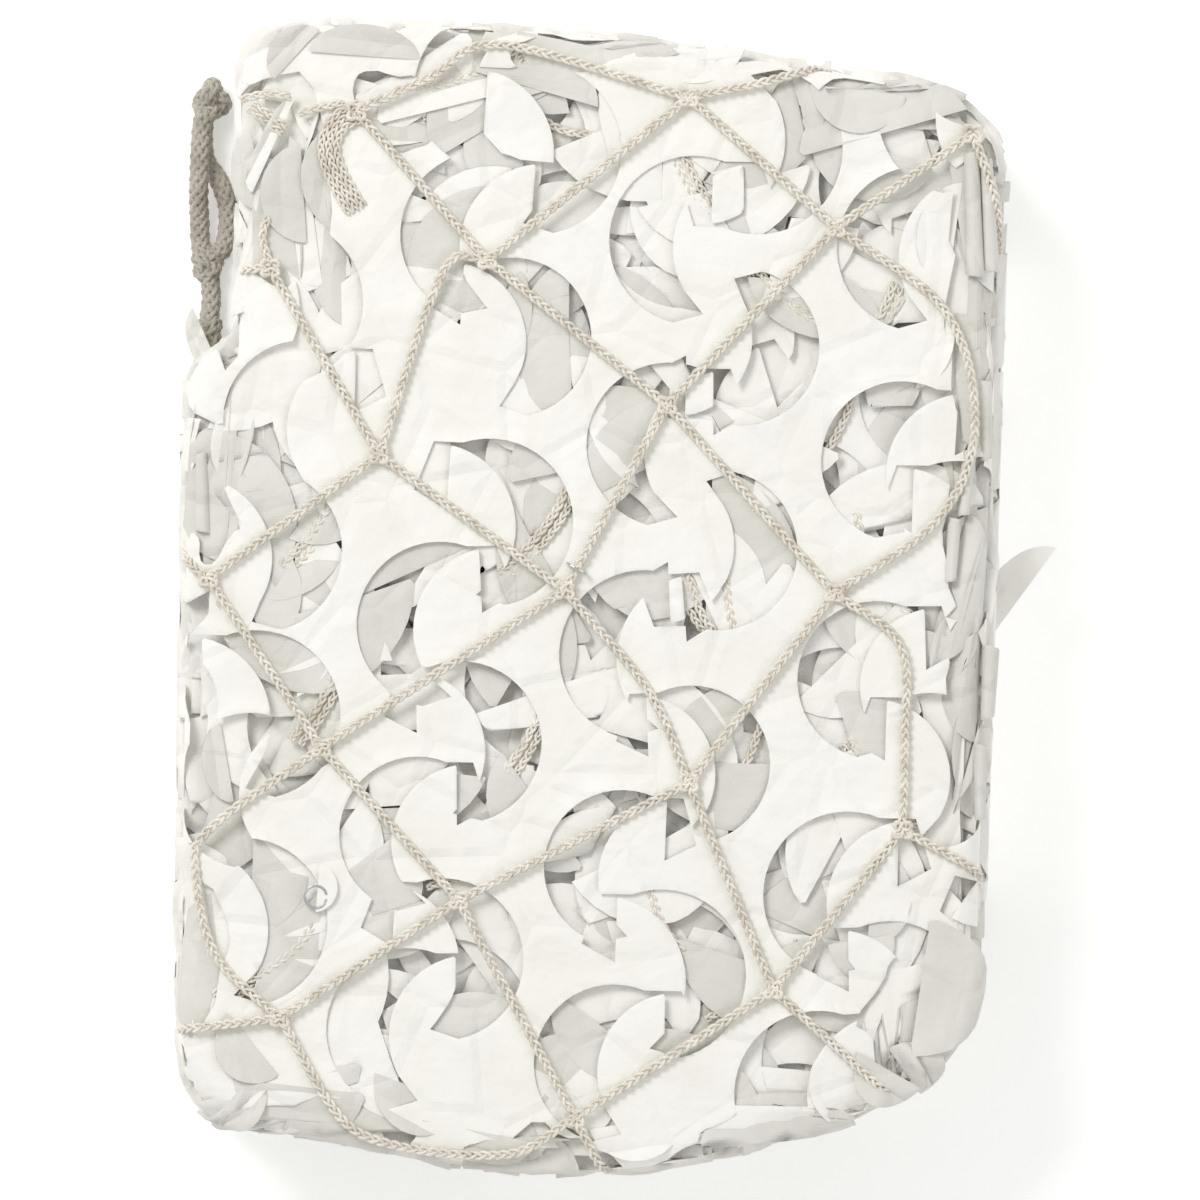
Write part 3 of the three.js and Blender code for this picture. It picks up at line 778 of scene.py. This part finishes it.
for x, y, size, width, turn, bend, under, cloth in turned_up:
    spin = Matrix.Rotation(math.radians(turn), 3, "Z")
    crease = [(np.array([1.5 * mm, 0]), np.array([0.05, 1]) / np.hypot(0.05, 1), bend)]
    top = sheet_top - under * mm
    lay_leaf(cloth, size, width, crease, spin, x * mm, y * mm, top - 2.5 * mm, top, plan(-4))
# Leaves rolled into tubes at the sides: two ends, a radius, and how many times round.
for start, end, radius, turns in (
    ((138.5, 116, 84.5), (137, 163, 85), 3.6, 1.2), ((144.5, 118, 83), (142.5, 160, 83.5), 3.0, 1.3),
    ((137, 54, 84), (134.5, 30, 85), 2.7, 1.4), ((131.5, 30, 84.6), (130, 6, 85), 2.5, 1.2),
    ((142, 80, 81), (143, 50, 82), 3.2, 1.1), ((145, -16, 79), (143.5, -44, 80), 3.4, 0.8),
    ((141, -52, 83), (140.5, -80, 84), 2.6, 1.3), ((-141, 24, 83), (-141.5, 54, 83.5), 2.8, 1.1),
):
    rolled_leaf(backs_with_painted_shade, start, end, radius, turns)
# Leaves that show their back take its grey, which carries painted shade.
leaves_under_top = backs_with_painted_shade.piece("leaves_under_top", cloth_back_and_painted_shade)
white_leaves_under_top = fronts.piece("white_leaves_under_top", cloth_face)
for piece in (leaves_under_top, white_leaves_under_top):
    piece.data.polygons.foreach_set("use_smooth", [False] * len(piece.data.polygons))
    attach(piece, "upper_half")

# ---------------------------------------------------------------- knitted mesh
# The net that carries the cloth: polyester cord, chain-stitched, in 85 mm diamonds. It lies over
# the outermost layer, and runs down over the bundle's edge.

knit_yarn = yarn_finish("knitted_polyester_cord", "F7F2E8", "D8CFC0", 0.7 * mm, 0.85)
net_cord = 3.8 * mm
stitch = 3.6 * mm  # one stitch along the cord
diamond_side = 85 * mm
net_level = sheet_top + 0.3 * mm + 1.8 * mm  # clear of the cloth, and about half a cord up
net_roll = 8 * mm  # the bend of the cords over the bundle's edge

# Where the cords cross, as shares of the bundle's half width and half length.
knots = {
    "top_left": (-0.571, 0.849),
    "upper_left": (-0.253, 0.591),
    "top_middle": (0.236, 0.873),
    "upper_right": (0.593, 0.647),
    "top_right": (0.925, 0.81),
    "left_upper": (-0.78, 0.577),
    "left_middle": (-0.516, 0.252),
    "middle_upper": (0.183, 0.339),
    "far_left": (-0.93, 0.038),
    "centre": (-0.065, 0.017),
    "right_middle": (0.589, 0.012),
    "left_lower": (-0.656, -0.257),
    "middle_lower": (0.236, -0.318),
    "right_lower": (0.755, -0.4),
    "lower_left": (-0.323, -0.522),
    "far_lower_left": (-0.757, -0.727),
    "lower_right": (0.441, -0.678),
    "bottom": (-0.041, -0.9),
}
# Each cord runs from one knot to the next, or over the bundle's edge, through the places between.
runs = [
    ["top_left", "upper_left"],
    ["upper_left", "middle_upper"],
    ["middle_upper", "right_middle"],
    ["top_left", (-0.39, 0.91), (-0.22, 0.965), "top_middle"],
    ["top_middle", "upper_right"],
    ["upper_right", (0.86, 0.5), (0.93, 0.3), (0.84, 0.14), "right_middle"],
    ["top_middle", "upper_left"],
    ["upper_left", (-0.36, 0.57), "left_middle"],
    ["left_middle", "far_left"],
    ["top_middle", (0.5, 0.92), (0.63, 1.02)],
    ["top_right", "upper_right"],
    ["upper_right", "middle_upper"],
    ["middle_upper", "centre"],
    ["centre", "left_lower"],
    ["left_lower", (-0.93, -0.4), (-0.96, -0.48), (-0.91, -0.62), "far_lower_left"],
    ["left_upper", "left_middle"],
    ["left_middle", "centre"],
    ["centre", (0.14, -0.16), "middle_lower"],
    ["far_left", "left_lower"],
    ["left_lower", "lower_left"],
    ["lower_left", "bottom"],
    ["bottom", (0.06, -1.04)],
    ["right_middle", "middle_lower"],
    ["middle_lower", "lower_left"],
    ["lower_left", "far_lower_left"],
    ["far_lower_left", (-1.04, -0.75)],
    ["right_middle", (0.75, -0.08), (0.76, -0.24), "right_lower"],
    ["right_lower", "lower_right"],
    ["right_lower", (1.04, -0.51)],
    ["middle_lower", "lower_right"],
    ["lower_right", (0.72, -0.86)],
    ["lower_right", "bottom"],
    ["bottom", (-0.22, -0.965), (-0.56, -0.93), "far_lower_left"],
    ["top_right", (1.04, 0.6)],
    ["left_upper", (-0.98, 0.57)],
    ["far_left", (-1.06, 0.1)],
]


def chain_stitch(path, width):
    """Three yarns plaited flat, which is how a knitted chain looks from its face."""
    tangent = np.gradient(path, axis=0)
    tangent /= np.linalg.norm(tangent, axis=1)[:, None]
    side = np.cross((0, 0, 1), tangent)
    side /= np.maximum(np.linalg.norm(side, axis=1), 1e-9)[:, None]
    rise = np.cross(tangent, side)
    along = np.concatenate([[0], np.cumsum(np.linalg.norm(np.diff(path, axis=0), axis=1))])
    yarn = 0.17 * width
    strands = []
    for k in range(3):
        turn = 2 * math.pi * (along / (3 * stitch) + k / 3)
        sway = (0.5 * width - yarn) * np.sin(turn)
        bob = 0.17 * width * np.sin(2 * turn)
        strands.append((path + sway[:, None] * side + bob[:, None] * rise, yarn))
    return strands


def net_run(stops, outline, level):
    flat = smooth_path([(*stop, 0) for stop in stops], 0.9 * mm)[:, :2]
    return over_edge(flat, outline, level, net_roll)


def net_knot(place, way, width):
    """A crossing of the mesh: two loops drawn round both cords, one each way."""
    strands = []
    for turn in (way, way + 1.7):
        along = np.array([math.cos(turn), math.sin(turn), 0])
        across = np.array([-along[1], along[0], 0])
        t = np.linspace(0, 2 * math.pi, 22)[:, None]
        ring = place + 0.72 * width * np.cos(t) * along + 0.36 * width * np.sin(t) * across
        strands.append((ring + 0.2 * width * np.array([0, 0, 1]) * np.cos(2 * t), 0.17 * width))
    return strands


def on_plan(stop):
    x, y = knots[stop] if isinstance(stop, str) else stop
    return (x * half_width, y * half_length)


strands = []
for run in runs:
    strands += chain_stitch(net_run([on_plan(stop) for stop in run], side_outline, net_level), net_cord)
for name in knots:
    place = over_edge(np.array([on_plan(name)]), side_outline, net_level, net_roll)[0]
    strands += net_knot(place, 0.7, 1.35 * net_cord)
mesh_net_over_top = yarn_piece("mesh_net_over_top", strands, knit_yarn, 0)
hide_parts("mesh_net_top")
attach(mesh_net_over_top, "upper_half")

# Where the net below the outermost layer bunches up, several cords lie side by side in the gaps.
# A bunch has a place, a lean in degrees, and a number of cords.
cord_bunches = [
    (-42, 186, 25, 4), (35, 155, -60, 2), (75, 108, -35, 4), (-97, 29, 60, 2),
    (-17, 25, 55, 2), (35, 7, -75, 2), (-95, -33, 65, 2), (-19, -43, 70, 2), (50, 0, -80, 3),
    (21, -108, -70, 2), (-116, -134, 35, 2), (-40, -94, 30, 2), (99, 95, 50, 2), (102, 10, -60, 2),
    (60, -47, 75, 1), (-80, 120, -75, 2), (60, -140, 40, 1), (-20, -150, 60, 2), (104, -70, -50, 2),
    (-20, 176, -30, 1), (88, 60, 65, 1),
]
bunch_pitch = 3.4 * mm  # from one cord's middle to the next
bunch_cord = 3.5 * mm
strands = []
for x, y, lean, count in cord_bunches:
    along = np.array([math.cos(math.radians(lean)), math.sin(math.radians(lean)), 0])
    across = np.array([-along[1], along[0], 0])
    middle = np.array([x * mm, y * mm, pass_top + 1.1 * mm])
    for k in range(count):
        shift = (k - (count - 1) / 2) * bunch_pitch
        bow = [(-22, 5 + k), (-8, 0), (10, -1), (22, 6 - k)]
        line = [middle + along * s * mm + across * (shift + b * mm * 0.6) for s, b in bow]
        line = [p + np.array([0, 0, (k % 2) * 0.9 * mm]) for p in line]
        strands += chain_stitch(smooth_path(line, 1.2 * mm), bunch_cord)
# Ends and loops of cord on the outermost layer, at the upper left: the places that they pass, and
# how many lie side by side.
loose_cords = [
    ([(-83, 177), (-91, 173), (-95, 164), (-92, 153), (-85, 141)], 3),
    ([(-127, 181), (-118, 183), (-109, 182)], 1), ([(-123, 179), (-117, 174), (-111, 170)], 2),
    ([(-106, 176), (-98, 178), (-90, 180)], 1), ([(-117, 139), (-119, 131), (-116, 121)], 1),
]
loose_pitch = 2.9 * mm
loose_cord = 3.3 * mm
for stops, count in loose_cords:
    line = smooth_path([(x * mm, y * mm, sheet_top + 0.7 * mm) for x, y in stops], 1.2 * mm)
    side, _ = cross_axes(line)
    for k in range(count):
        shift = (k - (count - 1) / 2) * loose_pitch
        strands += chain_stitch(line + side * shift, loose_cord)
cords_in_gaps = yarn_piece("cords_in_gaps", strands, knit_yarn, 0)
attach(cords_in_gaps, "upper_half")

# ---------------------------------------------------------------- wire ring clips
# Open rings of steel wire, bent round the mesh with pliers to hold the cloth to it. Bright zinc
# plating gives them a light grey shine with fine scratches. They keep their CAD mesh.

wire = bpy.data.materials.new("zinc_plated_wire")
wire.use_nodes = True
wire_shader = wire.node_tree.nodes["Principled BSDF"]
wire_place = add_node(wire.node_tree, "ShaderNodeTexCoord", {}).outputs["Object"]
scratch = add_node(wire.node_tree, "ShaderNodeTexNoise", {"Vector": wire_place, "Scale": 1 / (0.6 * mm)})
tone = add_node(wire.node_tree, "ShaderNodeValToRGB", {"Fac": scratch.outputs["Fac"]})
tone.color_ramp.elements[0].color = linear("B9BCBE")
tone.color_ramp.elements[1].color = linear("E4E6E7")
wire.node_tree.links.new(tone.outputs["Color"], wire_shader.inputs["Base Color"])
wire_shader.inputs["Metallic"].default_value = 1
wire_shader.inputs["Roughness"].default_value = 0.28
for node_name in ("ring_clip_knot", "ring_clip_leaf"):
    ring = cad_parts[node_name]
    ring.data.materials.clear()
    ring.data.materials.append(wire)

# ---------------------------------------------------------------- folded passes
# The long strip of net and cloth lies to and fro in nine passes. Of each, a few layers are made,
# with torn and leaf-cut edges that show at the bundle's sides and through the gaps.


def pass_layers(node, inset, levels, seed, leaves=()):
    """The layers of one pass, at shares of its height. It rides the half that it is named for."""
    low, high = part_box(node)
    cloth = Cloth()
    for k, share in enumerate(levels):
        outline = wavy_outline(inset - 1 + 2.5 * noise.noise(Vector((seed, k, 0.5))), 3.5 * mm, seed + k)
        flat, faces = cut_flat(outline, edge_openings(outline, 100 * seed + k), 5 * mm, rim=26 * mm)
        past, _ = to_outline(flat, outline)
        near_edge = np.clip(1 + past / (24 * mm), 0, 1)
        level = low.z + share * (high.z - low.z)
        wave = rippled(flat, 26 * mm, seed + 2.3 * k) * 3.4 * mm
        wave += rippled(flat, 9 * mm, seed + k) * 1.2 * mm
        places = np.column_stack([flat, level + near_edge * wave])
        places[:, 2] = np.maximum(places[:, 2], 0.4 * mm)
        cloth.add(flat, faces, places)
    for leaf in leaves:
        lay_leaf(cloth, *leaf, None)
    made = cloth.piece(node + "_layers", cloth_face)
    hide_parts(node)
    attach(made, node.split("_")[0] + "_half")


def leaf_at(x, y, level, size, width, turn, bend):
    """A leaf that sticks out of the bundle's side, as lay_leaf takes it."""
    spin = Matrix.Rotation(math.radians(turn), 3, "Z")
    crease = [(np.array([0, 0]), np.array([0.0, 1.0]), bend)]
    return size, width, crease, spin, x * mm, y * mm, (level - 1.5) * mm, (level + 1.5) * mm


# Shares of a pass's height. A pass next to a face has fewer layers, because the face has its own.
full = [0.15, 0.42, 0.7, 0.95]
left_leaf = leaf_at(-144.5, 92, 21, 0.5, 0.6, 24, 0.3)
pass_layers("lower_pass_1", 6, [0.62, 0.9], 41)
pass_layers("lower_pass_2", 2, full, 42)
pass_layers("lower_pass_3", 0, full, 43, [left_leaf])
pass_layers("lower_pass_4", 0, full, 44)
pass_layers("lower_pass_5", 0, [0.15, 0.4], 45)
pass_layers("upper_pass_1", 0, [0.6, 0.9], 46)
pass_layers("upper_pass_2", 0, full, 47)
pass_layers("upper_pass_3", 0, full, 48)
pass_layers("upper_pass_4", 3, [0.1, 0.35], 49)

# ---------------------------------------------------------------- side turns
# At alternate sides the cloth of one pass turns up into the next, in nested rolls with the same
# leaf cuts. The turn at the last fold joins the halves, and rides neither half.


def side_edge(along, side):
    """The plan's left or right side at each place along it."""
    outline = plan(0)
    half = outline[(outline[:, 0] * side > 0.3 * half_width)]
    order = half[:, 1].argsort()
    return np.interp(along, half[order, 1], half[order, 0])


def turn_rolls(name, node, body, side, seed, rolls=3, nest=0.22, reach=(14, 7), most=3.6, leaves=()):
    """Rolls of cloth nested in a turn's own box. Each is lower than the last by its share nest, and
    none bulges past the bundle's side by more than most, in millimetres."""
    low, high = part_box(node)
    height = high.z - low.z
    middle = (high.z + low.z) / 2
    length = high.y - low.y
    cloth = Cloth()
    for k in range(rolls):
        deep = (reach[0] + reach[1] * k) * mm  # how far the cloth goes back into the passes
        half_round = math.pi * height / 2 * 0.75  # the rolls are pressed, so less than a half circle
        strip = half_round + 2 * deep
        box = np.array([(0, 0), (length, 0), (length, strip), (0, strip)])
        closed = np.column_stack([np.vstack([box, box[:1]]), np.zeros(5)])
        ring = evenly(closed, 5 * mm)[:-1, :2]
        wave = [rippled(ring, 20 * mm, seed + k), rippled(ring, 17 * mm, seed + k + 5)]
        ring += np.column_stack(wave) * 4 * mm
        pick = random.Random(seed * 10 + k)
        holes = []
        for x in np.arange(24 * mm, length - 16 * mm, 52 * mm):
            y = pick.uniform(0.25, 0.75) * strip
            facing, tip = pick.choice([1, -1]), pick.choice([1, -1])
            holes.append(opening(x, y, facing, tip, 0.7, pick.uniform(0, 6), 0.6))
        flat, faces = cut_flat(ring, holes, 4 * mm)
        across = flat[:, 1] - strip / 2
        bend = np.clip(across / half_round, -0.5, 0.5) * math.pi
        past_round = np.sign(across) * np.maximum(np.abs(across) - half_round / 2, 0)
        shrink = 1 - nest * k
        rise = (height / 2 - 0.8 * mm) * shrink * np.sin(bend)
        bulge = 5.2 * mm * shrink * np.cos(bend) - np.abs(past_round)
        along = flat[:, 0] + low.y
        wander = rippled(np.column_stack([along, across]), 23 * mm, seed + 2 * k) * 1.3 * mm
        x = side_edge(along, side) + side * np.minimum(bulge + wander, (most - 0.6 * k) * mm)
        z = middle + rise + 0.5 * wander
        cloth.add(flat, faces, np.column_stack([x, along, z]))
    for leaf in leaves:
        lay_leaf(cloth, *leaf, None)
    made = cloth.piece(name, cloth_face)
    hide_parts(node)
    if body:
        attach(made, body)
    return made


# The first turn keeps in, so that the upper half clears it when the bundle is open.
turn_rolls("lower_turn_1_rolls", "lower_turn_1_right", "lower_half", 1, 51, most=1.2)
turn_rolls("lower_turn_2_rolls", "lower_turn_2_left", "lower_half", -1, 52)
turn_rolls("lower_turn_3_rolls", "lower_turn_3_right", "lower_half", 1, 53)
turn_rolls("lower_turn_4_rolls", "lower_turn_4_left", "lower_half", -1, 54)
turn_rolls("upper_turn_1_rolls", "upper_turn_1_left", "upper_half", -1, 55)
turn_rolls("upper_turn_2_rolls", "upper_turn_2_right", "upper_half", 1, 56)
right_leaf = leaf_at(148.6, 2, 46, 0.84, 0.62, -36, 0.25)
last_fold_cloth = turn_rolls(
    "last_fold_cloth", "last_fold_turn", None, 1, 57, rolls=4, nest=0.06, reach=(6, 2), leaves=[right_leaf]
)
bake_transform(last_fold_cloth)

# ---------------------------------------------------------------- inside faces and underside
# Each half has another face of leaf-cut cloth and net. Two of them meet inside the closed bundle,
# and one lies on the floor.


def crossing_runs(outline, shift):
    """Straight runs of the mesh across the plan, leaning two ways."""
    spacing = diamond_side * math.sin(math.radians(80))  # the cords cross at 80 degrees
    shortest, end_gap = 170 * mm, 4 * mm  # of a cord, and from its end to the outline
    found = []
    for lean in (40, 140):
        along = np.array([math.cos(math.radians(lean)), math.sin(math.radians(lean))])
        normal = np.array([-along[1], along[0]])
        for i in range(-5, 6):
            origin = normal * (i + shift) * spacing
            off = (outline - origin) @ normal
            ahead = np.roll(off, -1)
            hits = np.nonzero((off > 0) != (ahead > 0))[0]
            if len(hits) < 2:
                continue
            share = off[hits] / (off[hits] - ahead[hits])
            ends = outline[hits] + share[:, None] * (np.roll(outline, -1, axis=0)[hits] - outline[hits])
            reach = np.sort((ends - origin) @ along)
            if reach[-1] - reach[0] > shortest:
                ends_at = reach[0] + end_gap, reach[-1] - end_gap
                found.append(tuple(origin + along * end for end in ends_at))
    return found


def face(name, body, cloth_level, net_at, facing, inset, shift, turn, mesh_shift, seed):
    """One face: leaf-cut cloth, leaves behind it, and the mesh over it. Returns the mesh."""
    cloth = Cloth()
    leaf_sheet(cloth, cloth_level, facing, inset, shift, turn, 0.9 * mm, seed, 6 * mm)
    front = cloth.piece(name + "_cloth", cloth_face)
    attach(front, body)
    behind = Cloth()
    back_level = cloth_level - facing * 2 * mm
    leaf_sheet(behind, back_level, facing, inset, (-20, 30), turn + 0.6, 1.6 * mm, seed + 1, 6 * mm)
    near, far = sorted((cloth_level - facing * 1 * mm, cloth_level - facing * 4.5 * mm))
    loose_leaves([behind], 60, near, far, seed + 2, plan(inset + 4), 31 * mm)
    # The leaves behind the face take the back's grey, which carries painted shade.
    back = behind.piece(name + "_leaves", cloth_back_and_painted_shade)
    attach(back, body)
    strands = []
    for start, end in crossing_runs(plan(inset), mesh_shift):
        line = evenly(np.array([(*start, net_at), (*end, net_at)]), 1.3 * mm)
        strands += chain_stitch(line, 3.4 * mm)
    net = yarn_piece(name + "_mesh", strands, knit_yarn, 0)
    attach(net, body)
    return net


lower_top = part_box("lower_pass_5")[1].z
upper_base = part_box("upper_pass_1")[0].z
lower_low, lower_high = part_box("mesh_net_lower_inside")
upper_low, upper_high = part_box("mesh_net_upper_inside")
lower_net, upper_net = (lower_low.z + lower_high.z) / 2, (upper_low.z + upper_high.z) / 2
lower_cloth, upper_cloth = lower_top - 0.3 * mm, upper_base + 0.3 * mm
net = face("lower_inside", "lower_half", lower_cloth, lower_net, 1, 1, (10, 25), 0.1, 0.5, 61)
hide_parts("mesh_net_lower_inside")
net = face("upper_inside", "upper_half", upper_cloth, upper_net, -1, 1, (30, -10), -0.2, 0.1, 65)
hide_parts("mesh_net_upper_inside")
face("underside", "lower_half", 3.6 * mm, 1.9 * mm, -1, 5, (0, 12), 0.15, 0.3, 69)
